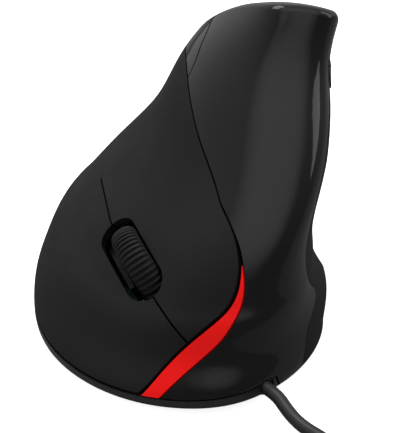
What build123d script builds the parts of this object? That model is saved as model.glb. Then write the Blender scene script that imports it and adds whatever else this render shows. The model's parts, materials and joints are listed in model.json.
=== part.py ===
from build123d import *
from math import cos, pi, sin, sqrt, tan
import os

# Body, all sizes in millimetres. Front (cable end) is -Y, the finger side -X, the thumb side +X.
width = 77.0
length = 108.0
height = 76.0
foot_proud = 0.6
wall = 2.2
floor_thick = 2.0
ridge_round = 2.5

# Seams and running gaps
cover_gap = 0.35
key_side_gap = 0.45
key_rim_gap = 0.7
slit_gap = 0.5
hinge_gap = 0.3
seat_gap = 0.1
fit_gap = 0.05
button_gap = 0.3

# Base rim, a step down behind the cable
rim_left = 4.4
rim_front = 5.6
rim_step_x = 15.2
rim_step_run = 1.2
rim_right = 1.3

# Body form: the side is a stack of rounded sections, given at these shares of the height
level = (0, .05, .13, .22, .32, .43, .56, .71, .86, 1.03)
# Where each section ends to the left and right, as shares of the width
left = (-.483, -.504, -.487, -.445, -.352, -.227, -.095, -.014, .114, .247)
right = (.434, .434, .449, .411, .399, .404, .459, .478, .503, .500)
# Where it ends at the front and back, as shares of the length
front = (-.453, -.500, -.474, -.440, -.400, -.344, -.250, -.136, -.028, .080)
back = (.485, .505, .505, .499, .491, .473, .449, .409, .368, .321)
# The point between them, where the four rounded quarters meet
middle_x = (-.006, -.016, -.006, .019, .054, .104, .174, .226, .266, .299)
middle_y = (-.082, -.070, -.042, -.016, .014, .044, .081, .126, .162, .193)
# Fullness of the front left, front right and back quarters, .55 being elliptical
full_left = (.53, .555, .56, .57, .585, .595, .60, .60, .60, .60)
full_right = (.49, .49, .49, .60, .65, .70, .71, .72, .72, .72)
full_back = (.58,) * 10
ring_heights = (2, 4, 7, 11, 16, 22, 29, 37, 46, 56, 66, 80)
ring_points = 32

# The palm: a long rounded cap that cuts the top off
palm_x = 22.6
palm_y = -6.3
palm_z = -10.0
palm_left = 78.5
palm_right = 61.8
palm_back = 71.3
palm_rise = 88.5
palm_stations = (-75, -45, -20, 5, 15, 25, 33, 40, 46, 51, 56)

# The thumb scoop, an ellipsoid taken out of the thumb side
scoop_at = (60.0, 8.0, 30.0)
scoop_size = (35.0, 40.0, 33.0)


def bends(xs, ys):
    """Second derivatives of the natural cubic spline through a row of values."""
    n = len(xs)
    low = [0.0] * n
    sub = [0.0] * n
    for i in range(1, n - 1):
        before = xs[i] - xs[i - 1]
        after = xs[i + 1] - xs[i]
        pivot = 2 * (before + after) - before * low[i - 1]
        slope = (ys[i + 1] - ys[i]) / after - (ys[i] - ys[i - 1]) / before
        low[i] = after / pivot
        sub[i] = (6 * slope - before * sub[i - 1]) / pivot
    bend = [0.0] * n
    for i in range(n - 2, 0, -1):
        bend[i] = sub[i] - low[i] * bend[i + 1]
    return bend


rows = {
    "left": left,
    "right": right,
    "front": front,
    "back": back,
    "middle_x": middle_x,
    "middle_y": middle_y,
    "full_left": full_left,
    "full_right": full_right,
    "full_back": full_back,
}
row_bends = {name: bends(level, values) for name, values in rows.items()}


def row(name, share):
    """A row's value at a share of the height."""
    i = 0
    while i < len(level) - 2 and level[i + 1] <= share:
        i += 1
    ys = rows[name]
    bend = row_bends[name]
    step = level[i + 1] - level[i]
    a = (level[i + 1] - share) / step
    b = (share - level[i]) / step
    return a * ys[i] + b * ys[i + 1] + ((a**3 - a) * bend[i] + (b**3 - b) * bend[i + 1]) * step**2 / 6


def quarter(start, corner, end, full, t):
    """Cubic from start to end that leaves and arrives square to the corner's sides."""
    out = start + (corner - start) * full
    back_in = end + (corner - end) * full
    s = 1 - t
    return start * s**3 + out * 3 * s * s * t + back_in * 3 * s * t * t + end * t**3


def skin(turn, z):
    """Point on the side: turn counts quarters from the left through the front, right and back."""
    share = z / height
    mx = row("middle_x", share) * width
    my = row("middle_y", share) * length
    ends = [
        Vector(row("left", share) * width, my, z),
        Vector(mx, row("front", share) * length, z),
        Vector(row("right", share) * width, my, z),
        Vector(mx, row("back", share) * length, z),
    ]
    turn = turn % 4
    q = int(turn)
    a = ends[q]
    b = ends[(q + 1) % 4]
    corner = Vector(a.X, b.Y, z) if q % 2 == 0 else Vector(b.X, a.Y, z)
    full = row(("full_left", "full_right", "full_back", "full_back")[q], share)
    return quarter(a, corner, b, full, turn - q)


def outward(turn, z):
    """Unit normal of the side."""
    along = skin(turn + 0.01, z) - skin(turn - 0.01, z)
    up = skin(turn, z + 0.1) - skin(turn, z - 0.1)
    return along.cross(up).normalized()


def ring(z, inset):
    """Section at a height, moved in level by what makes the wall that thick."""
    points = []
    for k in range(ring_points):
        turn = 4.0 * k / ring_points
        n = outward(turn, z)
        flat = Vector(n.X, n.Y, 0)
        points.append(skin(turn, z) - flat.normalized() * (inset / flat.length))
    return Wire([Edge.make_spline(points, periodic=True)])


def palm(inset):
    """Everything under the palm cap."""
    rings = []
    for y in sorted(palm_stations + (palm_y,)):
        s = sqrt(1 - (max(y - palm_y, 0) / (palm_back - inset)) ** 2)
        rise = (palm_rise - inset) * s
        wide_right = (palm_right - inset) * s
        wide_left = (palm_left - inset) * s
        at = Plane(origin=(palm_x, y, palm_z), x_dir=(1, 0, 0), z_dir=(0, -1, 0))
        outline = Wire([
            EllipticalCenterArc((0, 0), wide_right, rise, start_angle=0, arc_size=90).edge(),
            EllipticalCenterArc((0, 0), wide_left, rise, start_angle=90, arc_size=90).edge(),
            Line((-wide_left, 0), (wide_right, 0)).edge(),
        ])
        rings.append(at * outline)
    return Solid.make_loft(rings)


def palm_height(x, y):
    side = palm_right if x > palm_x else palm_left
    inside = 1 - ((x - palm_x) / side) ** 2 - (max(y - palm_y, 0) / palm_back) ** 2
    return palm_z + palm_rise * sqrt(max(inside, 0))


def scoop(inset):
    size = [s + inset for s in scoop_size]
    return Pos(*scoop_at) * scale(Sphere(1), by=tuple(size))


def form(inset):
    """The body's outer form moved in by a wall, with no scoop and no rounding."""
    heights = (foot_proud,) + ring_heights
    return Solid.make_loft([ring(z, inset) for z in heights]) & palm(inset)


def on_ridge(edge):
    for k in range(7):
        p = edge.position_at(k / 6)
        if abs(palm_height(p.X, p.Y) - p.Z) > 0.4:
            return False
    return abs(edge.position_at(0).X - palm_x) > 0.1 or abs(edge.position_at(1).X - palm_x) > 0.1


def rounded_form():
    body = form(0)
    ridge = [edge for edge in body.edges() if on_ridge(edge)]
    return fillet(ridge, ridge_round)


# Seams on the side, each point a turn count and a share of the height
main_seam = (
    (-.55, .765), (-.421, .765), (-.112, .774), (.192, .747), (.492, .663), (.737, .563), (.781, .542),
    (.888, .500), (.953, .464), (1.002, .420), (1.022, .379), (1.021, .340), (.996, .301), (.962, .274),
    (.904, .2325), (.821, .160), (.734, .083), (.690, .040), (.650, .008),
)
# The trim's outer edge leaves the main seam at its seventh point
trim_seam = main_seam[:7] + (
    (.825, .526), (.917, .487), (.976, .455), (1.015, .422), (1.048, .385), (1.069, .3425), (1.069, .302),
    (1.050, .260), (1.015, .223), (.963, .184), (.901, .139), (.846, .102), (.811, .076), (.775, .040),
    (.745, .008),
)
stripe_seam = (
    (.995, .470), (1.010, .428), (1.028, .390), (1.036, .350), (1.018, .309), (.975, .272), (.915, .232),
    (.820, .150), (.720, .060), (.650, .008),
)
slit_seam = (
    (-.200, .390), (-.099, .398), (.103, .400), (.205, .392), (.480, .365), (.703, .303), (.826, .250),
    (.885, .2185), (.980, .165),
)
thumb_seam = (
    (1.495, .004), (1.511, .032), (1.530, .096), (1.576, .154), (1.679, .2055), (1.630, .245), (1.570, .300),
    (1.530, .380), (1.525, .460), (1.541, .562), (1.617, .680), (1.670, .753), (1.637, .812), (1.750, .885),
    (2.000, .895), (2.250, .850), (2.420, .720), (2.530, .500), (2.580, .300), (2.620, .070), (2.630, .004),
)
back_seam = (
    (-.350, .780), (-.410, .760), (-.600, .710), (-.800, .630), (-.950, .500), (-1.050, .330),
    (-1.120, .160), (-1.150, .070), (-1.165, .004),
)
# The seam over the crest, seen from above
crest_seam = (
    (-3, 4), (2.0, 9.6), (4.2, 12.5), (6.0, 16.6), (8.4, 21.5), (10.4, 26.1), (14.5, 30.5), (21, 33),
    (28, 33), (34, 31.5), (45, 29),
)
# Views that the seams are cut along
finger_view = Plane(origin=(0, 0, 0), x_dir=(.737, -.676, 0), z_dir=(-.55, -.60, .58))
hidden_view = Plane(origin=(0, 0, 0), x_dir=(-.676, -.737, 0), z_dir=(-.60, .55, .58))
far = 150.0
finger_reach = 12.0
thumb_reach = 15.0


def block(x0, x1, y0, y1, z0, z1):
    """Box between two corners."""
    return Pos((x0 + x1) / 2, (y0 + y1) / 2, (z0 + z1) / 2) * Box(x1 - x0, y1 - y0, z1 - z0)


def seen(view, stations):
    """Seam stations as points in a view's plane."""
    points = []
    for turn, share in stations:
        p = view.to_local_coords(skin(turn, share * height))
        points.append((p.X, p.Y))
    return points


def moved(points, gap):
    """The same run of points, moved to its left by a gap."""
    out = []
    last = len(points) - 1
    for i, (x, y) in enumerate(points):
        ahead = points[min(i + 1, last)]
        behind = points[max(i - 1, 0)]
        dx = ahead[0] - behind[0]
        dy = ahead[1] - behind[1]
        run = sqrt(dx * dx + dy * dy)
        out.append((x - dy / run * gap, y + dx / run * gap))
    return out


def zone(view, points, corners):
    """Everything behind an outline: a curve through the points, closed by lines through the corners."""
    curve = Spline(*[Vector(*p) for p in points])
    rest = Polyline(*[Vector(*p) for p in [points[-1]] + corners + [points[0]]])
    return extrude(view * make_face([curve.edge()] + rest.edges()), far, both=True)


def main_part(shape):
    """The largest solid of a cut, without the far wall's share."""
    return max(shape.solids(), key=lambda s: s.volume)


def finger_zone(seam, gap):
    """The finger side of a seam and of the back seam, short of both by a gap."""
    points = moved(seen(finger_view, seam), -gap)
    corners = [(points[-1][0], -far), (-far, -far), (-far, points[0][1])]
    front_side = zone(finger_view, points, corners)
    hidden = moved(seen(hidden_view, back_seam), gap)
    corners = [(hidden[-1][0], -far), (far, -far), (far, far), (hidden[0][0], far)]
    return front_side & zone(hidden_view, hidden, corners) & block(-far, finger_reach, -far, far, -far, far)


def thumb_zone(gap):
    points = moved(seen(Plane.YZ, thumb_seam), -gap)
    side = zone(Plane.YZ, points, [(points[-1][0], -far), (points[0][0], -far)])
    return side & block(thumb_reach, far, -far, far, -far, far)


def crest_zone(gap):
    """Everything behind the crest seam."""
    points = moved([tuple(map(float, p)) for p in crest_seam], gap)
    return zone(Plane.XY, points, [(far, points[-1][1]), (far, far), (-far, far), (-far, points[0][1])])


def rim_zone(gap):
    """Everything under the base's rim."""
    line = [
        (-width, rim_left + gap), (rim_step_x + gap, rim_front + gap),
        (rim_step_x + rim_step_run + gap, rim_right + gap), (width, rim_right + gap),
    ]
    outline = Polyline(*line, (width, -far), (-width, -far), close=True)
    return extrude(Plane.XZ * make_face(outline), far, both=True)


# The wheel's own frame: X runs forward along the slot, Y towards the thumb side, Z out of the wheel slot
wheel_turn = -57.0
wheel_tilt = 58.0
slot_rear = (.195, .390)
slot_front = (.699, .302)
slot_middle = (.480, .365)
slot_long = 27.2
slot_back = 2.75
slot_wide = 9.8


def wheel_frame_plane():
    turn = wheel_turn * pi / 180
    tilt = wheel_tilt * pi / 180
    out = Vector(sin(turn) * cos(tilt), -cos(turn) * cos(tilt), sin(tilt))
    run = skin(slot_front[0], slot_front[1] * height) - skin(slot_rear[0], slot_rear[1] * height)
    run = run - out * run.dot(out)
    middle = skin(slot_middle[0], slot_middle[1] * height)
    return Plane(origin=middle, x_dir=run.normalized(), z_dir=out)


slot_plane = wheel_frame_plane()
at_slot = slot_plane.location

# Wheel and its click cradle
wheel_radius = 12.5
wheel_edge_radius = 11.0
wheel_wide = 6.6
wheel_back = 2.5
wheel_side = 1.1
wheel_deep = 8.0
rib_count = 54
rib_deep = 0.5
rib_gap_share = 0.4
tyre_thick = 3.0
hub_wide = 5.4
axle_radius = 1.0
light_slots = 24
light_slot_radius = 7.1
light_slot_long = 3.0
light_slot_wide = 0.9
cheek_gap = 0.9
cheek_thick = 1.2
cheek_rear = 18.0
cheek_front = 3.0
cheek_low = 2.8
cheek_high = 1.6
pivot_back = 16.5
pivot_drop = 1.6
pivot_radius = 1.2
pivot_long = 2.2
cradle_bar = 1.8
cradle_tab_x = -10.0
cradle_tab_wide = 4.0
cradle_tab_end = 13.0
cradle_tab_thick = 1.2

# Key board, its shelf and its switches
key_board_top = -14.6
board_thick = 1.6
key_board_rear = -16.2
key_board_front = 7.5
key_board_left = -15.4
key_board_right = 20.0
shelf_thick = 1.8
ear_rear = -21.5
ear_gap = 0.3
ear_wall = 1.0
key_travel_room = 0.8
wheel_clear = 0.8
switch_size = (12.8, 5.8, 6.5)
switch_x = 0.0
switch_side = 11.0
plunger_size = (2.9, 1.4)
plunger_x = 2.5
plunger_show = 0.8
plunger_hidden = 1.0
post_gap = 0.15
post_radius = 1.6
post_reach = 40.0
tact_size = (6.0, 6.0, 3.5)
tact_plunger_radius = 1.5
middle_switch_y = 11.0
emitter_size = (3.0, 2.8, 5.5)
emitter_x = 4.5
column_size = 5.0
columns = ((-17.0, -25.0), (-1.0, -8.0), (1.0, -25.0), (-20.0, -12.0))
screw_columns = 2

# Keys hinge where they meet the fixed panel
hinge_y = 11.7

# Screws
screw_radius = 1.0
screw_head = (1.9, 1.2)
screw_long = 4.5
board_screw_long = 5.0
key_screw_long = 3.2
screw_gap = 0.04
key_board_screws = ((-12.0, -12.0), (-12.0, 17.0))

# Main board and the optical parts
main_board = (-20.0, 16.0, -1.0, 38.0)
main_board_low = 7.0
board_corner = 3.0
standoff_radius = 2.6
sensor_at = (-2.0, 12.0)
sensor_size = (10.0, 12.0, 3.2)
sensor_window = 2.5
lens_size = (9.0, 16.0)
aperture_radius = 4.0
led_at = (-2.0, 24.0)
led_holder = 6.0
led_radius = 1.5
connector_x = 4.0
connector_size = (8.0, 5.0, 6.0)

# Side frame, its board and the thumb buttons
tower = (19.5, 21.5, 0.0, 28.5)
tower_top = 62.0
foot = (16.6, 23.0, -2.0, 30.5)
foot_thick = 2.2
side_board_x = 28.2
side_board_low = 53.0
peg_radius = 1.6
peg_inset = 2.5
side_tact_size = (2.8, 6.0, 6.0)
button_z = 57.5
button_high = 6.0
button_long = 10.5
button_y = (8.7, 20.8)
button_proud = 0.4
side_plunger_show = 0.7
button_post_radius = 1.3

# Feet
foot_recess = 0.3
feet = {
    "foot_front": (-6.0, -40.0, 0.0, 24.0),
    "foot_thumb": (24.0, -12.0, 80.0, 18.0),
    "foot_rear_left": (-21.0, 30.0, 55.0, 20.0),
    "foot_rear_right": (18.0, 33.0, -50.0, 20.0),
}
foot_wide = 7.0

# Stripe and its carrier
stripe_thick = 1.0

# Cable, its hole, its put-away coil and its plug
cord_diameter = 3.2
hole_turn = 1.28
hole_height = 4.6
hole_radius = 2.3
hole_deep = 12.0
grommet_out = 0.6
grommet_long = 4.6
grommet_flange = (6.4, 1.4)
cord_inside = 8.0
cord_lead = 2.5
cord_points = (
    (16.4, -56.8, 2.5), (18.9, -61.9, 1.62), (23.3, -68.0, 1.62), (28.0, -77.0, 1.62), (31.5, -87.5, 1.62),
    (31.5, -96.8, 1.62),
)
tail_diameter = 2.2
tail_lead = 5.0
tail_points = ((6.2, -24.0, 5.4), (6.0, -13.0, 8.0), (4.0, -7.0, 11.6), (4.0, -1.1, 11.6))
coil_radius = 28.5
coil_halves = 19
coil_gap = 0.5
coil_out_radius = 10.0
plug_size = (15.6, 21.0, 9.8)
plug_sleeve_long = 9.0
plug_sleeve_radius = 2.6
plug_sleeve_lip = 0.4
plug_round = 2.0
shell_size = (12.0, 12.0, 4.5)
shell_wall = 0.35
shell_seat = 4.0
tongue_size = (10.6, 9.0, 1.8)


def key_side(gap, upper):
    """The upper or lower side of the slit between the keys."""
    if upper:
        points = moved(seen(finger_view, slit_seam), gap)
        corners = [(far, points[-1][1]), (far, far), (points[0][0], far)]
    else:
        points = moved(seen(finger_view, slit_seam), -gap)
        corners = [(points[-1][0], -far), (-far, -far), (-far, points[0][1])]
    return zone(finger_view, points, corners)


def slot_hole():
    hole = extrude(SlotOverall(slot_long, slot_wide), wheel_deep, both=True)
    return at_slot * Pos(-slot_back, 0, 0) * hole


def key_post(side, core):
    """Post from the plunger up into the key's wall."""
    low = key_board_top + switch_size[2] + plunger_show + post_gap
    return at_slot * Pos(plunger_x, side, low + post_reach / 2) * Cylinder(post_radius, post_reach) & core


def wheel_place():
    """The wheel's axle frame, its Z along the axle."""
    return at_slot * Pos(-wheel_back, wheel_side, -wheel_deep) * Rot(90, 0, 0)


def tyre_outline():
    points = []
    for k in range(rib_count):
        for share, radius in (
            (0, wheel_radius), (1 - rib_gap_share, wheel_radius),
            (1 - rib_gap_share, wheel_radius - rib_deep), (1, wheel_radius - rib_deep),
        ):
            angle = 2 * pi * (k + share) / rib_count
            points.append((radius * cos(angle), radius * sin(angle)))
    return Polyline(*points, close=True)


def wheel_tyre():
    half = wheel_wide / 2
    inner = wheel_radius - tyre_thick
    crown = ThreePointArc((wheel_edge_radius, half), (wheel_radius, 0), (wheel_edge_radius, -half))
    sides = Polyline((wheel_edge_radius, -half), (inner, -half), (inner, half), (wheel_edge_radius, half))
    band = revolve(Plane.XZ * make_face([crown.edge()] + sides.edges()), Axis.Z)
    return wheel_place() * (band & extrude(make_face(tyre_outline()), half, both=True))


def wheel_hub():
    hub = Cylinder(wheel_radius - tyre_thick - fit_gap, hub_wide) - Cylinder(axle_radius + fit_gap, hub_wide)
    slots = PolarLocations(light_slot_radius, light_slots) * Box(light_slot_long, light_slot_wide, hub_wide)
    return wheel_place() * (hub - slots)


def cheek_outer():
    return wheel_wide / 2 + cheek_gap + cheek_thick


def wheel_axle():
    return wheel_place() * Cylinder(axle_radius, 2 * cheek_outer())


def pivot_place():
    return at_slot * Pos(-wheel_back - pivot_back, wheel_side, -wheel_deep - pivot_drop) * Rot(90, 0, 0)


def wheel_cradle():
    """Two cheeks that carry the axle, joined behind the wheel, with the trunnions and the click tab."""
    inner = wheel_wide / 2 + cheek_gap
    outer = cheek_outer()
    cx, cy, cz = -wheel_back, wheel_side, -wheel_deep
    solid = block(cx - cheek_rear, cx + cheek_front, cy - outer, cy + outer, cz - cheek_low, cz + cheek_high)
    solid -= block(cx - cheek_rear + cradle_bar, far, cy - inner, cy + inner, -far, far)
    solid += block(
        cradle_tab_x - cradle_tab_wide / 2, cradle_tab_x + cradle_tab_wide / 2, cy + inner, cradle_tab_end,
        cz - cradle_tab_thick / 2, cz + cradle_tab_thick / 2,
    )
    solid = at_slot * solid
    trunnion = pivot_place() * Cylinder(pivot_radius, 2 * (outer + pivot_long))
    gap_between = at_slot * block(-far, far, cy - inner, cy + inner, -far, far)
    solid += trunnion - gap_between
    return solid - wheel_place() * Cylinder(axle_radius + fit_gap, far)


def plate_shape(rear, low, high):
    """A plate in the wheel's frame with a bay cut in its front for the wheel."""
    half = wheel_wide / 2 + wheel_clear
    plate = block(rear, key_board_front, key_board_left, key_board_right, low, high)
    chord = sqrt(wheel_radius**2 - (key_board_top + wheel_deep) ** 2)
    bay_rear = -wheel_back - chord - wheel_clear
    return plate - block(bay_rear, far, wheel_side - half, wheel_side + half, -far, far)


def screw_places(low):
    return [Pos(x, y, low) for x, y in key_board_screws]


def key_board():
    low = key_board_top - board_thick
    plate = plate_shape(key_board_rear, low, key_board_top)
    plate -= Locations(*screw_places(low)) * Cylinder(screw_radius + seat_gap, far)
    return at_slot * plate


def wheel_frame():
    """Shelf under the key board, with ears for the cradle's trunnions and columns down to the base."""
    high = key_board_top - board_thick
    low = high - shelf_thick
    shelf = plate_shape(ear_rear, low, high)
    ear_in = cheek_outer() + ear_gap
    ear_out = cheek_outer() + pivot_long
    for side in (-1, 1):
        y0, y1 = sorted((wheel_side + side * ear_in, wheel_side + side * ear_out))
        ear_top = -wheel_deep - pivot_drop + pivot_radius + ear_wall
        shelf += block(ear_rear, key_board_rear - ear_gap, y0, y1, low, ear_top)
    shelf -= Locations(*screw_places(low)) * Cylinder(screw_radius + screw_gap, far)
    frame = at_slot * shelf
    frame -= pivot_place() * Cylinder(pivot_radius + fit_gap, far)
    above = at_slot * block(-far, far, -far, far, low, far)
    for x, y in columns:
        column = Pos(x, y, floor_top() + post_reach / 2) * Box(column_size, column_size, post_reach)
        frame += column - above
    return frame - screw_bores(wheel_screws(), floor_top())


def floor_top():
    return foot_proud + floor_thick


def wheel_screws():
    return list(columns[:screw_columns])


def side_screws():
    x = foot[1] - standoff_radius
    return [(x, foot[2] + standoff_radius), (x, foot[3] - standoff_radius)]


def screw_bores(places, low):
    """Blind bores that the screws cut their thread in."""
    deep = screw_long
    return [Pos(x, y, low + deep / 2) * Cylinder(screw_radius + screw_gap, deep) for x, y in places]


def screw(long):
    """A round-headed screw, head down, its seat at the origin."""
    head_radius, head_high = screw_head
    shank = Pos(0, 0, long / 2) * Cylinder(screw_radius, long)
    head = Pos(0, 0, -head_high / 2) * Cylinder(head_radius, head_high)
    slot = Pos(0, 0, -head_high) * Box(2 * head_radius, head_high / 3, head_high)
    return shank + head - slot


def micro_switch(side):
    """A click switch on the key board, with the well its plunger runs in."""
    long, wide, high = switch_size
    body = block(switch_x - long / 2, switch_x + long / 2, side - wide / 2, side + wide / 2, 0, high)
    px, py = plunger_size
    well = block(
        plunger_x - px / 2 - seat_gap, plunger_x + px / 2 + seat_gap, side - py / 2 - seat_gap,
        side + py / 2 + seat_gap, high - plunger_hidden - key_travel_room, high,
    )
    return at_slot * Pos(0, 0, key_board_top) * (body - well)


def micro_plunger(side):
    px, py = plunger_size
    high = switch_size[2]
    pin = block(
        plunger_x - px / 2, plunger_x + px / 2, side - py / 2, side + py / 2, high - plunger_hidden,
        high + plunger_show,
    )
    return at_slot * Pos(0, 0, key_board_top) * pin


def middle_switch():
    x, y, high = tact_size
    body = Pos(cradle_tab_x, middle_switch_y, key_board_top + high / 2) * Box(x, y, high)
    well = Pos(cradle_tab_x, middle_switch_y, key_board_top + high) * Cylinder(
        tact_plunger_radius + seat_gap, 2 * (plunger_hidden + key_travel_room)
    )
    return at_slot * (body - well)


def middle_plunger():
    low = key_board_top + tact_size[2] - plunger_hidden
    high = -wheel_deep - cradle_tab_thick / 2 - post_gap
    pin = Cylinder(tact_plunger_radius, high - low)
    return at_slot * Pos(cradle_tab_x, middle_switch_y, (low + high) / 2) * pin


def light_part(side):
    """One half of the wheel's light gate, beside the hub's slots."""
    x, y, high = emitter_size
    off = wheel_wide / 2 + wheel_clear + fit_gap + y / 2
    body = Pos(emitter_x, wheel_side + side * off, key_board_top + high / 2) * Box(x, y, high)
    dome = Pos(emitter_x, wheel_side + side * (off - y / 2), key_board_top + high - x / 2) * Rot(90, 0, 0)
    return at_slot * (body + dome * Cylinder(x / 4, wheel_clear))


def shell_cut(outer, cavity, tool):
    return main_part((outer & tool) - cavity)


def base_screws():
    seat = foot_proud + foot_recess + screw_head[1]
    return [Pos(x, y, seat) * screw(screw_long) for x, y in wheel_screws() + side_screws()]


def main_standoffs():
    x0, x1, y0, y1 = main_board
    across = (x0 + board_corner, x1 - board_corner)
    return [(x, y) for x in across for y in (y0 + board_corner, y1 - board_corner)]


def hole_axis():
    """Where the cable leaves the body, and its level direction."""
    out = outward(hole_turn, hole_height)
    return skin(hole_turn, hole_height), Vector(out.X, out.Y, 0).normalized()


def hole_place(along):
    mouth, out = hole_axis()
    return Plane(origin=mouth + out * along, x_dir=out.cross(Vector(0, 0, 1)), z_dir=out).location


def base(outer, cavity, inner_cavity):
    """Floor and rim in one, with board posts, feet recesses, screw holes and the sensor's aperture."""
    tray = (outer & rim_zone(0)) - (cavity & block(-far, far, -far, far, floor_top(), far))
    tray += inner_cavity & block(-far, far, -far, far, foot_proud, floor_top())
    post_high = main_board_low - floor_top()
    for x, y in main_standoffs():
        post = Cylinder(standoff_radius, post_high) - Cylinder(screw_radius + screw_gap, post_high)
        tray += Pos(x, y, floor_top() + post_high / 2) * post
    head_radius, head_high = screw_head
    for x, y in wheel_screws() + side_screws():
        tray -= Pos(x, y, foot_proud) * Cylinder(head_radius + seat_gap, 2 * (head_high + foot_recess))
        tray -= Pos(x, y, foot_proud) * Cylinder(screw_radius + seat_gap, 4 * floor_thick)
    for x, y, turn, long in feet.values():
        recess = extrude(SlotOverall(long + 2 * seat_gap, foot_wide + 2 * seat_gap), foot_recess, both=True)
        tray -= Pos(x, y, foot_proud) * Rot(0, 0, turn) * recess
    tray -= Pos(sensor_at[0], sensor_at[1], foot_proud) * Cylinder(aperture_radius, 4 * floor_thick)
    tray -= hole_place(0) * Cylinder(hole_radius, hole_deep)
    return main_part(tray)


def foot_pad(name):
    x, y, turn, long = feet[name]
    return Pos(x, y, 0) * Rot(0, 0, turn) * extrude(SlotOverall(long, foot_wide), foot_proud + foot_recess)


def board_screws():
    below = Rot(180, 0, 0) * screw(board_screw_long)
    above = Rot(180, 0, 0) * screw(key_screw_long)
    placed = [Pos(x, y, main_board_low + board_thick) * below for x, y in main_standoffs()]
    return placed + [at_slot * Pos(x, y, key_board_top) * above for x, y in key_board_screws]


def main_board_plate():
    x0, x1, y0, y1 = main_board
    plate = block(x0, x1, y0, y1, main_board_low, main_board_low + board_thick)
    hole = Cylinder(screw_radius + seat_gap, far)
    plate -= [Pos(x, y, main_board_low) * hole for x, y in main_standoffs()]
    return plate - Pos(sensor_at[0], sensor_at[1], main_board_low) * Cylinder(sensor_window, far)


def optical_sensor():
    x, y, high = sensor_size
    return Pos(sensor_at[0], sensor_at[1], main_board_low + board_thick + high / 2) * Box(x, y, high)


def lens():
    low = floor_top()
    high = main_board_low - low
    plate = Pos(sensor_at[0], sensor_at[1], low + high / 2) * Box(lens_size[0], lens_size[1], high)
    dome = Sphere(sensor_window) & block(-far, far, -far, far, -far, 0)
    dome = Pos(sensor_at[0], sensor_at[1], low) * dome
    return plate + dome


def led():
    low = main_board_low + board_thick
    holder = Pos(led_at[0], led_at[1], low + led_holder / 2) * Box(led_holder, led_holder, led_holder)
    lamp = Pos(led_at[0], led_at[1] - led_holder / 2, low + led_holder / 2)
    return holder + lamp * Rot(90, 0, 0) * Cylinder(led_radius, led_holder / 2) + lamp * Pos(
        0, -led_holder / 4, 0
    ) * Sphere(led_radius)


def connector():
    x, y, high = connector_size
    return Pos(connector_x, main_board[2] + y / 2, main_board_low + board_thick + high / 2) * Box(x, y, high)


def side_frame():
    """Upright behind the thumb panel, with a screwed foot and pegs for the side board."""
    x0, x1, y0, y1 = tower
    frame = block(x0, x1, y0, y1, floor_top(), tower_top)
    frame += block(*foot, floor_top(), floor_top() + foot_thick)
    boss_high = screw_long + foot_thick
    for x, y in side_screws():
        frame += Pos(x, y, floor_top() + boss_high / 2) * Cylinder(standoff_radius, boss_high)
    for y in (y0 + peg_inset, y1 - peg_inset):
        for z in (side_board_low + peg_inset, tower_top - peg_inset):
            peg = Rot(0, 90, 0) * Cylinder(peg_radius, side_board_x - x1)
            frame += Pos((x1 + side_board_x) / 2, y, z) * peg
    return frame - screw_bores(side_screws(), floor_top())


def side_board():
    return block(side_board_x, side_board_x + board_thick, tower[2], tower[3], side_board_low, tower_top)


def side_switch(y):
    x, wide, high = side_tact_size
    face = side_board_x + board_thick
    body = Pos(face + x / 2, y, button_z) * Box(x, wide, high)
    well = Pos(face + x, y, button_z) * Rot(0, 90, 0)
    return body - well * Cylinder(tact_plunger_radius + seat_gap, 2 * (plunger_hidden + key_travel_room))


def side_plunger(y):
    x = side_board_x + board_thick + side_tact_size[0]
    long = plunger_hidden + side_plunger_show
    pin = Rot(0, 90, 0) * Cylinder(tact_plunger_radius, long)
    return Pos(x - plunger_hidden + long / 2, y, button_z) * pin


def button_shape(y, gap):
    """A thumb button's outline run through the thumb panel."""
    outline = Pos(y, button_z) * SlotOverall(button_long + 2 * gap, button_high + 2 * gap)
    return extrude(Plane.YZ * outline, far) & block(thumb_reach, far, -far, far, -far, far)


def thumb_button(y, proud, cavity, core):
    tip = side_board_x + board_thick + side_tact_size[0] + side_plunger_show + post_gap
    post = Pos(tip + post_reach / 2, y, button_z) * Rot(0, 90, 0) * Cylinder(button_post_radius, post_reach)
    return main_part((proud & button_shape(y, 0)) - cavity + (post & core))


def grommet():
    tube = hole_place(-grommet_out - grommet_long / 2) * Cylinder(hole_radius - fit_gap, grommet_long)
    wide, thick = grommet_flange
    high = 2 * (hole_height - floor_top() - seat_gap)
    flange = hole_place(-grommet_out - grommet_long + thick / 2) * Box(wide, high, thick)
    clear = hole_place(0) * Cylinder(cord_diameter / 2 + fit_gap, 4 * grommet_long)
    return tube + flange - clear


def cord_route():
    mouth, out = hole_axis()
    return [mouth - out * cord_inside, mouth + out * cord_lead] + [Vector(*p) for p in cord_points]


def tube(points, diameter, name):
    """Straight runs joined by the largest arcs that they allow."""
    radii = []
    for before, here, after in zip(points, points[1:], points[2:]):
        run_in = here - before
        run_out = after - here
        half_turn = run_in.get_angle(run_out) * pi / 360
        radii.append(0.45 * min(run_in.length, run_out.length) / tan(half_turn))
    path = FilletPolyline(*points, radius=radii)
    start = Plane(origin=points[0], z_dir=points[1] - points[0])
    solid = sweep(start * Circle(diameter / 2), path)
    ideal = pi * diameter**2 / 4 * path.length
    print(name, "radii", [round(r, 1) for r in radii], "length", round(path.length, 1))
    print(name, "volume over section times length", round(solid.volume / ideal, 4))
    return solid


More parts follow.
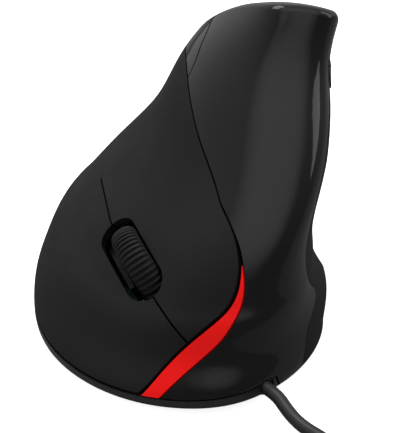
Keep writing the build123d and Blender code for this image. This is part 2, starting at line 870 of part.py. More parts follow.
def coil_arcs():
    """Half turns that spiral in on the table, climb, and spiral out, with a straight lead at each end."""
    pitch = cord_diameter + coil_gap
    start = Vector(*cord_points[-1]) - Vector(0, cord_diameter, 0)
    climb = coil_halves // 2
    z = start.Z
    x = start.X
    arcs = [((x, start.Y + cord_diameter, z), None, (x, start.Y, z))]
    for k in range(coil_halves):
        radius = coil_radius - pitch / 2 * (climb - abs(k - climb))
        side = 1 if k % 2 == 0 else -1
        end_x = x - side * 2 * radius
        end_z = z + pitch if k == climb else z
        middle = ((x + end_x) / 2, start.Y - side * radius, (z + end_z) / 2)
        arcs.append(((x, start.Y, z), middle, (end_x, start.Y, end_z)))
        x = end_x
        z = end_z
    turn_x = x - 2 * coil_out_radius
    arcs.append(((x, start.Y, z), (x - coil_out_radius, start.Y + coil_out_radius, z), (turn_x, start.Y, z)))
    end = (turn_x, start.Y - cord_diameter, z)
    arcs.append(((turn_x, start.Y, z), None, end))
    return arcs, Vector(*end)


def arc_edge(start, middle, end):
    if middle is None:
        return Line(start, end).edge()
    return ThreePointArc(start, middle, end).edge()


def cable_coil(arcs):
    path = Wire([arc_edge(*arc) for arc in arcs])
    first = Vector(*arcs[0][2]) - Vector(*arcs[0][0])
    start = Plane(origin=arcs[0][0], z_dir=first)
    return sweep(start * Circle(cord_diameter / 2), path)


def coil_self_gap(arcs):
    """Least gap between turns, measured on points along the coil."""
    steps = 24
    points = []
    for arc in arcs[1:-1]:
        edge = arc_edge(*arc)
        points += [edge.position_at(k / steps) for k in range(steps)]
    least = far
    for i, p in enumerate(points):
        for q in points[i + steps:]:
            least = min(least, (p - q).length)
    return least - cord_diameter


def plug_place(end, heading, along):
    return Plane(origin=end + heading * along, x_dir=heading.cross(Vector(0, 0, 1)), z_dir=heading).location


def plug_body(end, heading):
    """Moulded plug with its tapered sleeve, hollow for the metal shell."""
    wide, long, high = plug_size
    sleeve = Cone(cord_diameter / 2 + plug_sleeve_lip, plug_sleeve_radius, plug_sleeve_long)
    sleeve = Pos(0, 0, plug_sleeve_long / 2) * sleeve
    body = extrude(RectangleRounded(wide, high, plug_round), long)
    socket = Pos(0, 0, long - shell_seat / 2) * Box(
        shell_size[0] + 2 * fit_gap, shell_size[2] + 2 * fit_gap, shell_seat
    )
    return plug_place(end, heading, 0) * (sleeve + Pos(0, 0, plug_sleeve_long) * (body - socket))


def plug_shell(end, heading):
    wide, long, high = shell_size
    along = plug_sleeve_long + plug_size[1] - shell_seat
    whole = long + shell_seat
    outer = Pos(0, 0, whole / 2) * Box(wide, high, whole)
    inner = Pos(0, 0, whole / 2) * Box(wide - 2 * shell_wall, high - 2 * shell_wall, whole)
    return plug_place(end, heading, along) * (outer - inner)


def plug_tongue(end, heading):
    wide, long, thick = tongue_size
    along = plug_sleeve_long + plug_size[1] - shell_seat
    high_side = shell_size[2] / 2 - shell_wall - fit_gap - thick / 2
    whole = long + shell_seat
    return plug_place(end, heading, along) * Pos(0, high_side, whole / 2) * Box(wide, thick, whole)


def shells():
    """The outer pieces, all cut from the body's form along its seams."""
    outer = rounded_form() - scoop(0)
    cavity = form(wall) - scoop(wall)
    inner_cavity = form(wall + seat_gap) - scoop(wall + seat_gap)
    core = form(stripe_thick) - scoop(stripe_thick)
    under = form(stripe_thick + seat_gap)
    proud = form(-button_proud)
    upper = outer - rim_zone(cover_gap)
    pieces = {"base": base(outer, cavity, inner_cavity)}

    fingers = shell_cut(outer - rim_zone(key_rim_gap), cavity, finger_zone(main_seam, key_side_gap / 2))
    pieces["finger_panel"] = main_part(fingers & block(-far, far, hinge_y + hinge_gap / 2, far, -far, far))
    keys = (fingers & block(-far, far, -far, hinge_y - hinge_gap / 2, -far, far)) - slot_hole()
    for name, side in (("left_button", 1), ("right_button", -1)):
        key = main_part(keys & key_side(slit_gap / 2, side > 0))
        pieces[name] = main_part(key + key_post(side * switch_side, core))

    strip = (upper & finger_zone(trim_seam, cover_gap / 2)) - finger_zone(main_seam, -key_side_gap / 2)
    stripe_points = moved(seen(finger_view, stripe_seam), seat_gap)
    corners = [(stripe_points[-1][0], -far), (far, -far), (far, stripe_points[0][1])]
    stripe_tool = zone(finger_view, stripe_points, corners)
    pieces["accent_stripe"] = main_part((strip & stripe_tool) - core)
    pieces["stripe_carrier"] = main_part((strip & under) - cavity)

    cover = (upper - finger_zone(trim_seam, -cover_gap / 2)) - thumb_zone(-cover_gap / 2)
    cover = cover - cavity - hole_place(0) * Cylinder(hole_radius, hole_deep)
    pieces["front_cover"] = main_part(cover - crest_zone(-cover_gap / 2))
    pieces["back_cover"] = main_part(cover & crest_zone(cover_gap / 2))

    panel = shell_cut(upper, cavity, thumb_zone(cover_gap / 2))
    for name, y in zip(("forward_button", "back_button"), button_y):
        panel -= button_shape(y, button_gap)
        pieces[name] = thumb_button(y, proud, cavity, core)
    pieces["thumb_panel"] = main_part(panel)
    return pieces


def inner_pieces():
    return {
        "wheel_tyre": wheel_tyre(),
        "wheel_hub": wheel_hub(),
        "wheel_axle": wheel_axle(),
        "wheel_cradle": wheel_cradle(),
        "wheel_frame": wheel_frame(),
        "key_board": key_board(),
        "left_switch": micro_switch(switch_side),
        "left_plunger": micro_plunger(switch_side),
        "right_switch": micro_switch(-switch_side),
        "right_plunger": micro_plunger(-switch_side),
        "middle_switch": middle_switch(),
        "middle_plunger": middle_plunger(),
        "wheel_emitter": light_part(-1),
        "wheel_receiver": light_part(1),
        "side_frame": side_frame(),
        "side_board": side_board(),
        "forward_switch": side_switch(button_y[0]),
        "forward_plunger": side_plunger(button_y[0]),
        "back_switch": side_switch(button_y[1]),
        "back_plunger": side_plunger(button_y[1]),
        "main_board": main_board_plate(),
        "optical_sensor": optical_sensor(),
        "sensor_lens": lens(),
        "sensor_led": led(),
        "cable_connector": connector(),
        "board_screws": board_screws(),
        "base_screws": base_screws(),
        "cable_grommet": grommet(),
    }


def cord_pieces():
    arcs, coil_end = coil_arcs()
    heading = coil_end - Vector(*arcs[-1][0])
    heading = heading.normalized()
    plug_end = coil_end + heading * fit_gap
    route = cord_route()
    tail = [route[0], route[0] - hole_axis()[1] * tail_lead] + [Vector(*p) for p in tail_points]
    return {
        "cable": tube(route, cord_diameter, "cable"),
        "cable_tail": tube(tail, tail_diameter, "cable tail"),
        "cable_coil": cable_coil(arcs),
        "plug_body": plug_body(plug_end, heading),
        "plug_shell": plug_shell(plug_end, heading),
        "plug_tongue": plug_tongue(plug_end, heading),
    }


def main():
    os.makedirs("parts", exist_ok=True)
    print("coil self gap", round(coil_self_gap(coil_arcs()[0]), 3))
    pieces = shells() | inner_pieces() | cord_pieces()
    for name in feet:
        pieces[name] = foot_pad(name)
    for name, piece in pieces.items():
        if isinstance(piece, (list, ShapeList)):
            piece = Compound(children=list(piece))
        export_step(piece, f"parts/{name}.step")
        print(name, round(piece.volume, 1))


if __name__ == "__main__":
    main()
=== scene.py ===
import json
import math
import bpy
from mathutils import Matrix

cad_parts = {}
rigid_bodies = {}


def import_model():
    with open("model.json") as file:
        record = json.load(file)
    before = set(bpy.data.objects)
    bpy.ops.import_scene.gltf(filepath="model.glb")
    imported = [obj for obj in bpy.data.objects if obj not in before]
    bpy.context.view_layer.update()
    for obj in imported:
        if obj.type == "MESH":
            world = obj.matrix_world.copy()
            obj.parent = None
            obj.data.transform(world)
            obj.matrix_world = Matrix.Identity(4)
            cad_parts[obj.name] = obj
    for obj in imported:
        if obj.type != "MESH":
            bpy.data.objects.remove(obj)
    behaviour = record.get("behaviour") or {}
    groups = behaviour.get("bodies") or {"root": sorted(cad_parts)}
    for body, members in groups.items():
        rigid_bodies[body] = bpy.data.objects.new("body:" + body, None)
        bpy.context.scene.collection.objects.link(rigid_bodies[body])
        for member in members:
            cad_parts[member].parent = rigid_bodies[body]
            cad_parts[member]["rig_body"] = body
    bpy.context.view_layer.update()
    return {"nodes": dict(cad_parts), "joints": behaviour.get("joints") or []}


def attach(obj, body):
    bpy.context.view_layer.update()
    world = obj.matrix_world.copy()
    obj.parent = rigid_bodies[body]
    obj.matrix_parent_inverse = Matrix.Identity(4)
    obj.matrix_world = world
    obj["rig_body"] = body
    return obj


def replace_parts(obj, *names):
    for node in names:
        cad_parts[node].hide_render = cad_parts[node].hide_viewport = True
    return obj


bl_info = {
    "name": "Vertical mouse",
    "version": (1, 0, 0),
    "blender": (4, 5, 0),
    "location": "View3D > Sidebar > Vertical mouse",
    "description": "Shells, wheel, cable and finishes of a wired vertical mouse",
    "category": "Object",
}

import bmesh
import bpy
from bpy.props import FloatProperty, FloatVectorProperty, IntProperty, PointerProperty
from mathutils import Matrix, Vector

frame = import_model()
mm = 0.001


# Sizes and colours that a user would change


class ViewSettings(bpy.types.PropertyGroup):
    azimuth: FloatProperty(
        name="Azimuth", description="Turn of the camera round the mouse", default=math.radians(-7.0),
        subtype="ANGLE",
    )
    elevation: FloatProperty(
        name="Elevation", description="Height of the camera as an angle", default=math.radians(31.0),
        subtype="ANGLE",
    )
    distance: FloatProperty(
        name="Distance", description="From the middle of the mouse to the camera", default=0.45, unit="LENGTH"
    )
    lens: FloatProperty(
        name="Lens", description="Focal length on a 36 mm frame height", default=146.3, unit="CAMERA"
    )
    aim_right: FloatProperty(
        name="Aim right", description="How far right of the middle the camera looks", default=4.3 * mm,
        unit="LENGTH",
    )
    aim_up: FloatProperty(
        name="Aim up", description="How far above the middle the camera looks", default=22.4 * mm,
        unit="LENGTH",
    )


class CableSettings(bpy.types.PropertyGroup):
    diameter: FloatProperty(name="Diameter", description="Cable thickness", default=3.2 * mm, unit="LENGTH")
    coil_radius: FloatProperty(
        name="Coil radius", description="Middle of the outer turn", default=28.5 * mm, unit="LENGTH"
    )
    coil_halves: IntProperty(name="Half turns", description="Half turns in the put-away coil", default=19)
    gap: FloatProperty(name="Turn gap", description="Space between turns", default=0.5 * mm, unit="LENGTH")
    half_steps: IntProperty(name="Steps", description="Points on each half turn", default=12)


class WheelSettings(bpy.types.PropertyGroup):
    radius: FloatProperty(
        name="Radius", description="Over the ribs, at the crown", default=12.5 * mm, unit="LENGTH"
    )
    shoulder: FloatProperty(
        name="Shoulder", description="Radius at the sides", default=11.0 * mm, unit="LENGTH"
    )
    inner: FloatProperty(
        name="Inner radius", description="Where the tyre grips the hub", default=9.5 * mm, unit="LENGTH"
    )
    width: FloatProperty(name="Width", description="Width of the tyre", default=6.6 * mm, unit="LENGTH")
    ribs: IntProperty(name="Ribs", description="Ribs round the tyre", default=54)
    rib_height: FloatProperty(
        name="Rib height", description="How far a rib stands out", default=0.5 * mm, unit="LENGTH"
    )
    rib_share: FloatProperty(
        name="Rib share", description="Share of the spacing that a rib fills", default=0.62
    )


class FinishSettings(bpy.types.PropertyGroup):
    panel: FloatVectorProperty(
        name="Finger panel", description="Soft black of the finger side", subtype="COLOR",
        default=(0.0100, 0.0098, 0.0102),
    )
    shell: FloatVectorProperty(
        name="Covers", description="Gloss black of the covers", subtype="COLOR",
        default=(0.006, 0.006, 0.0066),
    )
    stripe: FloatVectorProperty(
        name="Stripe", description="Red of the accent stripe", subtype="COLOR", default=(0.90, 0.007, 0.006)
    )


# Finishes


def finish_nodes(name):
    material = bpy.data.materials.new(name)
    material.use_nodes = True
    return material, material.node_tree, material.node_tree.nodes["Principled BSDF"]


def coordinates(tree, stretch=(1.0, 1.0, 1.0)):
    """Object coordinates, stretched along the axes."""
    source = tree.nodes.new("ShaderNodeTexCoord")
    mapping = tree.nodes.new("ShaderNodeMapping")
    mapping.inputs["Scale"].default_value = stretch
    tree.links.new(source.outputs["Object"], mapping.inputs["Vector"])
    return mapping.outputs["Vector"]


def noise(tree, where, size, detail=4.0, rough=0.5):
    """Noise whose features are about a size across."""
    node = tree.nodes.new("ShaderNodeTexNoise")
    node.inputs["Scale"].default_value = 1.0 / size
    node.inputs["Detail"].default_value = detail
    node.inputs["Roughness"].default_value = rough
    tree.links.new(where, node.inputs["Vector"])
    return node.outputs["Fac"]


def spread(tree, value, low, high, start=0.35, end=0.65):
    """A value between start and end spread over low to high."""
    node = tree.nodes.new("ShaderNodeMapRange")
    node.inputs["From Min"].default_value = start
    node.inputs["From Max"].default_value = end
    node.inputs["To Min"].default_value = low
    node.inputs["To Max"].default_value = high
    tree.links.new(value, node.inputs["Value"])
    return node.outputs["Result"]


def tinted(tree, value, dark, light):
    """A value as a colour between two tones."""
    node = tree.nodes.new("ShaderNodeMix")
    node.data_type = "RGBA"
    node.inputs["A"].default_value = (*dark, 1.0)
    node.inputs["B"].default_value = (*light, 1.0)
    tree.links.new(value, node.inputs["Factor"])
    return node.outputs["Result"]


def relief(tree, height, depth):
    """Bump of a height pattern."""
    node = tree.nodes.new("ShaderNodeBump")
    node.inputs["Strength"].default_value = 1.0
    node.inputs["Distance"].default_value = depth
    tree.links.new(height, node.inputs["Height"])
    return node.outputs["Normal"]


def blended(tree, value, start, end, low, high):
    """A value that eases from low at start to high at end."""
    node = tree.nodes.new("ShaderNodeMapRange")
    node.interpolation_type = "SMOOTHSTEP"
    for name, number in zip(("From Min", "From Max", "To Min", "To Max"), (start, end, low, high)):
        node.inputs[name].default_value = number
    tree.links.new(value, node.inputs["Value"])
    return node.outputs["Result"]


def calculated(tree, operation, a, b):
    node = tree.nodes.new("ShaderNodeMath")
    node.operation = operation
    for socket, value in zip(node.inputs, (a, b)):
        if isinstance(value, float):
            socket.default_value = value
        else:
            tree.links.new(value, socket)
    return node.outputs[0]


def facing(tree, direction, axis):
    """How far a direction turns towards an axis."""
    node = tree.nodes.new("ShaderNodeVectorMath")
    node.operation = "DOT_PRODUCT"
    node.inputs[1].default_value = axis
    tree.links.new(direction, node.inputs[0])
    return node.outputs["Value"]


def toned(color, share):
    return tuple(min(c * share, 1.0) for c in color)


moulding_patch = 12 * mm


def moulded(name, color, rough, grain, depth, vary=0.12, specular=0.5):
    """Moulded plastic or rubber: a fine grain, slow changes of tone and uneven gloss."""
    material, tree, shader = finish_nodes(name)
    where = coordinates(tree)
    slow = noise(tree, where, moulding_patch, 3.0)
    fine = noise(tree, where, grain, 2.0, 0.6)
    tone = tinted(tree, slow, toned(color, 1 - vary), toned(color, 1 + vary))
    tree.links.new(tone, shader.inputs["Base Color"])
    tree.links.new(spread(tree, slow, rough * 0.9, rough * 1.12), shader.inputs["Roughness"])
    tree.links.new(relief(tree, fine, depth), shader.inputs["Normal"])
    shader.inputs["Specular IOR Level"].default_value = specular
    return material


def soft_touch(color):
    """Rubbery paint: dull, very fine grain, a little sheen and handling marks that are slightly smoother."""
    material, tree, shader = finish_nodes("soft touch paint")
    where = coordinates(tree)
    slow = noise(tree, where, 24 * mm, 4.0)
    marks = noise(tree, coordinates(tree, (1.0, 0.35, 0.6)), 5 * mm, 5.0, 0.65)
    fine = noise(tree, where, 0.16 * mm, 2.0, 0.7)
    tone = tinted(tree, slow, toned(color, 0.93), toned(color, 1.07))
    tree.links.new(tone, shader.inputs["Base Color"])
    tree.links.new(spread(tree, marks, 0.54, 0.62), shader.inputs["Roughness"])
    tree.links.new(relief(tree, fine, 0.006 * mm), shader.inputs["Normal"])
    shader.inputs["Specular IOR Level"].default_value = 0.16
    return material


def piano_gloss(color):
    """Polished black plastic: faint moulding waves and hairlines that only show in the gloss."""
    material, tree, shader = finish_nodes("gloss black plastic")
    where = coordinates(tree)
    waves = noise(tree, where, 18 * mm, 1.0, 0.3)
    hairs = noise(tree, coordinates(tree, (1.0, 0.04, 0.05)), 0.25 * mm, 2.0, 0.5)
    dust = noise(tree, where, 3 * mm, 5.0, 0.7)
    tone = tinted(tree, dust, toned(color, 0.92), toned(color, 1.08))
    tree.links.new(tone, shader.inputs["Base Color"])
    tree.links.new(spread(tree, hairs, 0.055, 0.09, 0.45, 0.75), shader.inputs["Roughness"])
    tree.links.new(relief(tree, waves, 0.02 * mm), shader.inputs["Normal"])
    shader.inputs["Specular IOR Level"].default_value = 0.42
    return material


def lacquer(color):
    """Smooth red paint under a clear coat, with a slight orange-peel wave."""
    material, tree, shader = finish_nodes("red lacquer")
    where = coordinates(tree)
    peel = noise(tree, where, 0.8 * mm, 2.0)
    slow = noise(tree, where, 9 * mm, 3.0)
    tone = tinted(tree, slow, toned(color, 0.97), toned(color, 1.03))
    tree.links.new(tone, shader.inputs["Base Color"])
    tree.links.new(spread(tree, peel, 0.28, 0.36), shader.inputs["Roughness"])
    tree.links.new(relief(tree, peel, 0.002 * mm), shader.inputs["Normal"])
    shader.inputs["Specular IOR Level"].default_value = 0.1
    shader.inputs["Coat Weight"].default_value = 0.1
    shader.inputs["Coat Roughness"].default_value = 0.12
    return material


def turned_metal(name, color, rough):
    """Plated metal with fine drawn lines."""
    material, tree, shader = finish_nodes(name)
    lines = noise(tree, coordinates(tree, (1.0, 0.05, 1.0)), 0.12 * mm, 3.0, 0.6)
    tone = tinted(tree, lines, toned(color, 0.9), toned(color, 1.05))
    tree.links.new(tone, shader.inputs["Base Color"])
    tree.links.new(spread(tree, lines, rough * 0.8, rough * 1.3), shader.inputs["Roughness"])
    tree.links.new(relief(tree, lines, 0.003 * mm), shader.inputs["Normal"])
    shader.inputs["Metallic"].default_value = 1.0
    return material


def circuit_board():
    """Green solder mask with raised tracks and a glass weave under it."""
    material, tree, shader = finish_nodes("circuit board")
    where = coordinates(tree)
    tracks = tree.nodes.new("ShaderNodeTexBrick")
    tracks.inputs["Scale"].default_value = 1.0 / (8 * mm)
    tracks.inputs["Mortar Size"].default_value = 0.03
    tracks.inputs["Color1"].default_value = (0.0, 0.0, 0.0, 1.0)
    tracks.inputs["Color2"].default_value = (0.1, 0.1, 0.1, 1.0)
    tracks.inputs["Mortar"].default_value = (1.0, 1.0, 1.0, 1.0)
    tree.links.new(where, tracks.inputs["Vector"])
    weave = noise(tree, where, 0.5 * mm, 2.0)
    tone = tinted(tree, tracks.outputs["Fac"], (0.008, 0.075, 0.026), (0.02, 0.15, 0.05))
    tree.links.new(tone, shader.inputs["Base Color"])
    tree.links.new(spread(tree, weave, 0.3, 0.42), shader.inputs["Roughness"])
    tree.links.new(relief(tree, tracks.outputs["Fac"], 0.03 * mm), shader.inputs["Normal"])
    return material


def clear_plastic(name, color, rough):
    """Clear moulding with slow waves in its faces."""
    material, tree, shader = finish_nodes(name)
    where = coordinates(tree)
    waves = noise(tree, where, 2.5 * mm, 2.0)
    tree.links.new(tinted(tree, waves, toned(color, 0.95), color), shader.inputs["Base Color"])
    tree.links.new(spread(tree, waves, rough, rough * 2), shader.inputs["Roughness"])
    tree.links.new(relief(tree, waves, 0.01 * mm), shader.inputs["Normal"])
    shader.inputs["Transmission Weight"].default_value = 1.0
    shader.inputs["IOR"].default_value = 1.49
    return material


def cable_jacket():
    """Dull vinyl with the fine rings that extrusion leaves."""
    material, tree, shader = finish_nodes("cable jacket")
    where = coordinates(tree)
    slow = noise(tree, where, 6 * mm, 3.0)
    fine = noise(tree, where, 0.22 * mm, 3.0, 0.6)
    tone = tinted(tree, slow, (0.012, 0.011, 0.0115), (0.019, 0.017, 0.018))
    tree.links.new(tone, shader.inputs["Base Color"])
    tree.links.new(spread(tree, slow, 0.40, 0.52), shader.inputs["Roughness"])
    tree.links.new(relief(tree, fine, 0.012 * mm), shader.inputs["Normal"])
    shader.inputs["Specular IOR Level"].default_value = 0.45
    return material


finishes = {}


def make_finishes(settings):
    finishes.update({
        "gloss_black": piano_gloss(settings.shell),
        "soft_black": soft_touch(settings.panel),
        "base_black": moulded("base plastic", (0.012, 0.012, 0.013), 0.28, 0.3 * mm, 0.004 * mm),
        "accent_red": lacquer(settings.stripe),
        "wheel_rubber": moulded(
            "wheel rubber", (0.007, 0.007, 0.0078), 0.55, 0.14 * mm, 0.012 * mm, specular=0.25
        ),
        "inner_plastic": moulded(
            "inner plastic", (0.009, 0.009, 0.010), 0.5, 0.4 * mm, 0.01 * mm, specular=0.25
        ),
        "steel": turned_metal("zinc plated steel", (0.62, 0.61, 0.58), 0.32),
        "board_green": circuit_board(),
        "switch_black": moulded("switch case", (0.018, 0.018, 0.018), 0.38, 0.25 * mm, 0.008 * mm),
        "plunger_white": moulded(
            "switch plunger", (0.62, 0.61, 0.57), 0.35, 0.3 * mm, 0.005 * mm, 0.04
        ),
        "clear_lens": clear_plastic("clear lens", (0.97, 0.98, 0.98), 0.02),
        "lamp_red": clear_plastic("red lamp", (0.75, 0.03, 0.02), 0.08),
        "connector_white": moulded(
            "connector housing", (0.66, 0.64, 0.58), 0.42, 0.35 * mm, 0.008 * mm, 0.05
        ),
        "foot_dark": moulded("slide foot", (0.016, 0.016, 0.017), 0.33, 0.5 * mm, 0.006 * mm),
        "cord_black": cable_jacket(),
        "plug_black": moulded("plug overmould", (0.016, 0.016, 0.017), 0.48, 0.2 * mm, 0.014 * mm),
        "plug_metal": turned_metal("nickel shell", (0.72, 0.70, 0.66), 0.2),
    })
    for node in frame["nodes"].values():
        for place in node.material_slots:
            place.material = finishes[place.material.name]
    blackened = turned_metal("blackened steel", (0.03, 0.03, 0.032), 0.5)
    for place in frame["nodes"]["wheel_axle"].material_slots:
        place.material = blackened


# Camera and cable


body_middle = Vector((-0.46, -2.14, 0.0))
film_height = 36.0
nearest = 0.01
farthest = 20.0


def make_camera(settings):
    az, el = settings.azimuth, settings.elevation
    away = Vector((math.sin(az) * math.cos(el), -math.cos(az) * math.cos(el), math.sin(el)))
    right = Vector((math.cos(az), math.sin(az), 0.0))
    up = away.cross(right)
    middle = body_middle * mm
    place = middle + away * settings.distance
    look = (middle + right * settings.aim_right + up * settings.aim_up - place).normalized()
    side = look.cross(Vector((0.0, 0.0, 1.0))).normalized()
    above = side.cross(look)
    data = bpy.data.cameras.new("photo camera")
    camera = bpy.data.objects.new("photo camera", data)
    bpy.context.scene.collection.objects.link(camera)
    camera.matrix_world = Matrix.Translation(place) @ Matrix((side, above, -look)).transposed().to_4x4()
    data.sensor_fit = "VERTICAL"
    data.sensor_height = film_height
    data.lens = settings.lens
    data.clip_start = nearest
    data.clip_end = farthest
    bpy.context.scene.camera = camera


cable_mouth = Vector((12.802, -49.182, 4.6))
cable_out = Vector((0.5842, -0.8116, 0.0))
cable_inside = 8.0
cable_lead = 2.5
cable_points = (
    (16.4, -56.8, 2.5), (18.9, -61.9, 1.62), (23.3, -68.0, 1.62), (28.0, -77.0, 1.62), (31.5, -87.5, 1.62),
    (31.5, -96.8, 1.62),
)
coil_out_radius = 10.0


def coil_route(settings):
    """The coil's half turns, wound in on the table and out on top, as points round each."""
    pitch = (settings.diameter + settings.gap) / mm
    radius_out = settings.coil_radius / mm
    steps = settings.half_steps
    x, y, z = cable_points[-1]
    y -= settings.diameter / mm
    climb = settings.coil_halves // 2
    points = [(x, y, z)]
    for k in range(settings.coil_halves):
        radius = radius_out - pitch / 2 * (climb - abs(k - climb))
        side = 1 if k % 2 == 0 else -1
        rise = pitch if k == climb else 0.0
        for i in range(1, steps + 1):
            angle = math.pi * i / steps
            across = side * radius * (1 - math.cos(angle))
            points.append((x - across, y - side * radius * math.sin(angle), z + rise * i / steps))
        x -= side * 2 * radius
        z += rise
    for i in range(1, steps + 1):
        angle = math.pi * i / steps
        points.append((
            x - coil_out_radius * (1 - math.cos(angle)), y + coil_out_radius * math.sin(angle), z
        ))
    points.append((x - 2 * coil_out_radius, y - settings.diameter / mm, z))
    return points


def make_cable(settings):
    route = [cable_mouth - cable_out * cable_inside, cable_mouth + cable_out * cable_lead]
    route += [Vector(p) for p in list(cable_points) + coil_route(settings)]
    curve = bpy.data.curves.new("cable", "CURVE")
    curve.dimensions = "3D"
    spline = curve.splines.new("NURBS")
    spline.points.add(len(route) - 1)
    for point, place in zip(spline.points, route):
        point.co = (*(place * mm), 1.0)
    spline.order_u = 3
    spline.use_endpoint_u = True
    spline.resolution_u = 5
    curve.bevel_depth = settings.diameter / 2
    curve.bevel_resolution = 5
    curve.use_fill_caps = True
    curve.materials.append(finishes["cord_black"])
    cable = bpy.data.objects.new("cable_run", curve)
    bpy.context.scene.collection.objects.link(cable)
    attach(cable, "shell")
    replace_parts(cable, "cable", "cable_coil")


# Shells


hinge_at = 11.7 * mm
hinge_gap = 0.3 * mm
hinge_seam = 0.042 * mm
edge_within = 0.002 * mm
skin_facing = 0.9


def closed_on_hinge(node, side):
    """A copy of a finger-side shell whose hinge edge runs out along its skin to the hinge line.

    A hair's breadth stays open there, because a pressed key's edge tips that far towards the panel.
    """
    source = frame["nodes"][node]
    mesh = source.data.copy()
    edge = hinge_at + side * hinge_gap / 2
    near = [v.index for v in mesh.vertices if abs(v.co.y - edge) < edge_within]
    slope = {index: Vector() for index in near}
    for face in mesh.polygons:
        for index in face.vertices:
            if index in slope and abs(face.normal.y) < skin_facing:
                slope[index] += face.normal * face.area
    closed = hinge_at + side * hinge_seam / 2
    shift = closed - edge
    for index, normal in slope.items():
        if normal.length > 0:
            n = normal.normalized()
            along = Vector((0.0, 1.0, 0.0)) - n * n.y
            mesh.vertices[index].co += along * (shift / along.y)
        else:
            mesh.vertices[index].co.y = closed
    shell = bpy.data.objects.new(node + "_shell", mesh)
    bpy.context.scene.collection.objects.link(shell)
    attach(shell, source["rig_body"])
    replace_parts(shell, node)


def make_shells():
    closed_on_hinge("finger_panel", 1)
    closed_on_hinge("left_button", -1)
    closed_on_hinge("right_button", -1)


# Wheel


crown_round = 0.55
band_steps = 144
band_columns = 10
side_wall = 1.2 * mm
bead_taper = 0.4 * mm
rib_columns = 7
rib_points = 4
rib_root = 0.3 * mm
rib_reach = 0.985


def crown(settings, share):
    """Radius of the tread at a share of its half width."""
    drop = settings.radius - settings.shoulder
    return settings.radius - drop * (crown_round * share**2 + (1 - crown_round) * share**6)


def solid_of(name, vertices, faces):
    mesh = bpy.data.meshes.new(name)
    mesh.from_pydata(vertices, [], faces)
    mesh.shade_smooth()
    thing = bpy.data.objects.new(name, mesh)
    bpy.context.scene.collection.objects.link(thing)
    return thing


def rings_joined(rings, closed):
    """Vertices and faces through rings of points, round again to the first ring or closed at both ends."""
    around = len(rings[0])
    vertices = [point for ring in rings for point in ring]
    faces = []
    for i in range(len(rings) if closed else len(rings) - 1):
        a, b = i * around, (i + 1) % len(rings) * around
        for k in range(around):
            m = (k + 1) % around
            faces.append((a + k, b + k, b + m, a + m))
    if not closed:
        faces.append(tuple(range(around)))
        faces.append(tuple(range(len(vertices) - 1, len(vertices) - 1 - around, -1)))
    return vertices, faces


def tyre_band(settings):
    half = settings.width / 2
    shares = [math.sin(math.pi / 2 * i / band_columns) for i in range(-band_columns, band_columns + 1)]
    outline = [(crown(settings, abs(share)) - settings.rib_height, half * share) for share in shares]
    outline += [(settings.shoulder - side_wall, half), (settings.inner, half - bead_taper)]
    outline += [(settings.inner, -half + bead_taper), (settings.shoulder - side_wall, -half)]
    rings = []
    for k in range(band_steps):
        turn = 2 * math.pi * k / band_steps
        rings.append([(r * math.cos(turn), r * math.sin(turn), z) for r, z in outline])
    return solid_of("tyre_band", *rings_joined(rings, True))


def one_rib(settings):
    """A rib across the tread: a rounded bar that follows the crown and fades out at the shoulders."""
    half = settings.width / 2
    reach = math.pi / settings.ribs * settings.rib_share
    rings = []
    for i in range(-rib_columns, rib_columns + 1):
        share = math.sin(math.pi / 2 * i / rib_columns)
        fade = math.sqrt(max(1.0 - abs(share) ** 6, 0.0))
        ground = crown(settings, abs(share)) - settings.rib_height
        ring = []
        for k in range(-rib_points, rib_points + 1):
            side = k / rib_points
            rise = settings.rib_height * fade * math.sqrt(max(1.0 - side**4, 0.0))
            ring.append((ground + rise, reach * side))
        ring += [(ground - rib_root, reach), (ground - rib_root, -reach)]
        across = half * share * rib_reach
        rings.append([(r * math.cos(turn), r * math.sin(turn), across) for r, turn in ring])
    return solid_of("rib", *rings_joined(rings, False))


def rib_ring():
    """Geometry nodes that set a number of ribs evenly round the wheel's axis."""
    tree = bpy.data.node_groups.new("rib ring", "GeometryNodeTree")
    rib = tree.interface.new_socket("Rib", in_out="INPUT", socket_type="NodeSocketGeometry")
    count = tree.interface.new_socket("Count", in_out="INPUT", socket_type="NodeSocketInt")
    finish = tree.interface.new_socket("Finish", in_out="INPUT", socket_type="NodeSocketMaterial")
    tree.interface.new_socket("Ribs", in_out="OUTPUT", socket_type="NodeSocketGeometry")
    source = tree.nodes.new("NodeGroupInput").outputs
    points = tree.nodes.new("GeometryNodePoints")
    place = tree.nodes.new("GeometryNodeInstanceOnPoints")
    index = tree.nodes.new("GeometryNodeInputIndex")
    share = calculated(tree, "DIVIDE", index.outputs[0], source["Count"])
    turn = tree.nodes.new("ShaderNodeCombineXYZ")
    real = tree.nodes.new("GeometryNodeRealizeInstances")
    paint = tree.nodes.new("GeometryNodeSetMaterial")
    result = tree.nodes.new("NodeGroupOutput")
    tree.links.new(source["Count"], points.inputs["Count"])
    tree.links.new(calculated(tree, "MULTIPLY", share, 2 * math.pi), turn.inputs["Z"])
    tree.links.new(points.outputs[0], place.inputs["Points"])
    tree.links.new(source["Rib"], place.inputs["Instance"])
    tree.links.new(turn.outputs[0], place.inputs["Rotation"])
    tree.links.new(place.outputs[0], real.inputs[0])
    tree.links.new(real.outputs[0], paint.inputs["Geometry"])
    tree.links.new(source["Finish"], paint.inputs["Material"])
    tree.links.new(paint.outputs[0], result.inputs[0])
    return tree, count.identifier, finish.identifier


merge_within = 0.001 * mm


def outward_normals(mesh):
    work = bmesh.new()
    work.from_mesh(mesh)
    bmesh.ops.remove_doubles(work, verts=work.verts, dist=merge_within)
    bmesh.ops.recalc_face_normals(work, faces=work.faces)
    work.to_mesh(mesh)
    work.free()


